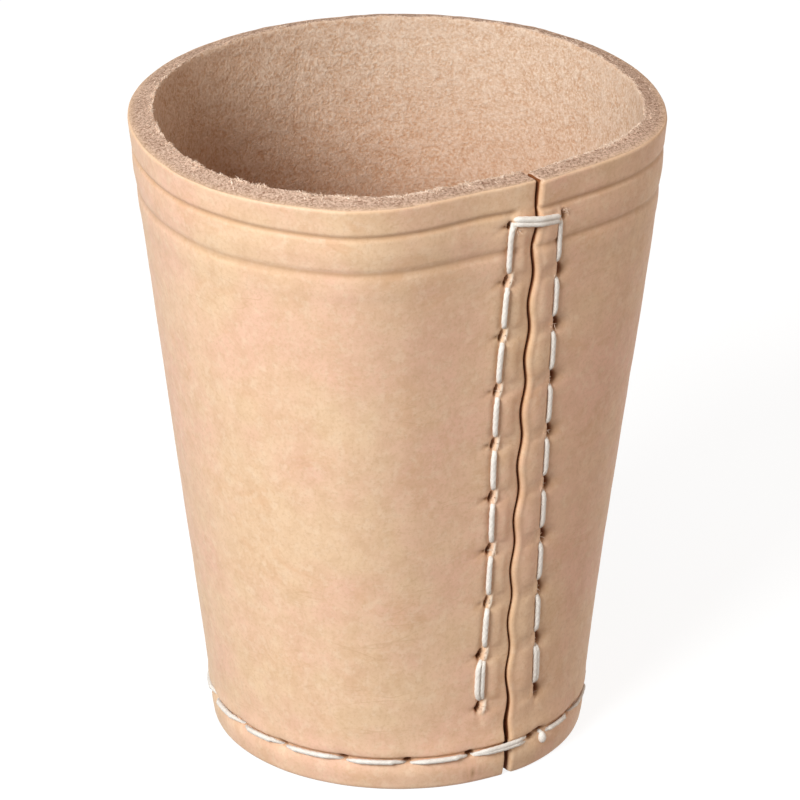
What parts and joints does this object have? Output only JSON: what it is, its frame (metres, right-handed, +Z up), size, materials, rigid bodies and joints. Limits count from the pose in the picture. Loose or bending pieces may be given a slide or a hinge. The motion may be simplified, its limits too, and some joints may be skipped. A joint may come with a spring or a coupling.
{
  "type": "leather dice cup",
  "caption": "Tapered open cup of thick natural leather with a sewn butt seam and a sewn-in leather base, for shaking and throwing dice.",
  "frame": {"origin": "centre of the round foot, on the plane that the cup stands on", "axes": "+Z up along the cup's axis to its mouth; -Y towards the sewn seam; +X to the right when facing the seam"},
  "size_m": [0.0815, 0.0752, 0.101],
  "materials": {
    "wall_leather": "smooth grain side out, raw flesh side in",
    "base_leather": "raw flesh side",
    "thread": "waxed"
  },
  "bodies": {
    "root": {"wall": "wall_leather", "base": "base_leather", "seam_thread_a": "thread", "seam_thread_b": "thread", "base_thread_a": "thread", "base_thread_b": "thread"}
  },
  "joints": []
}
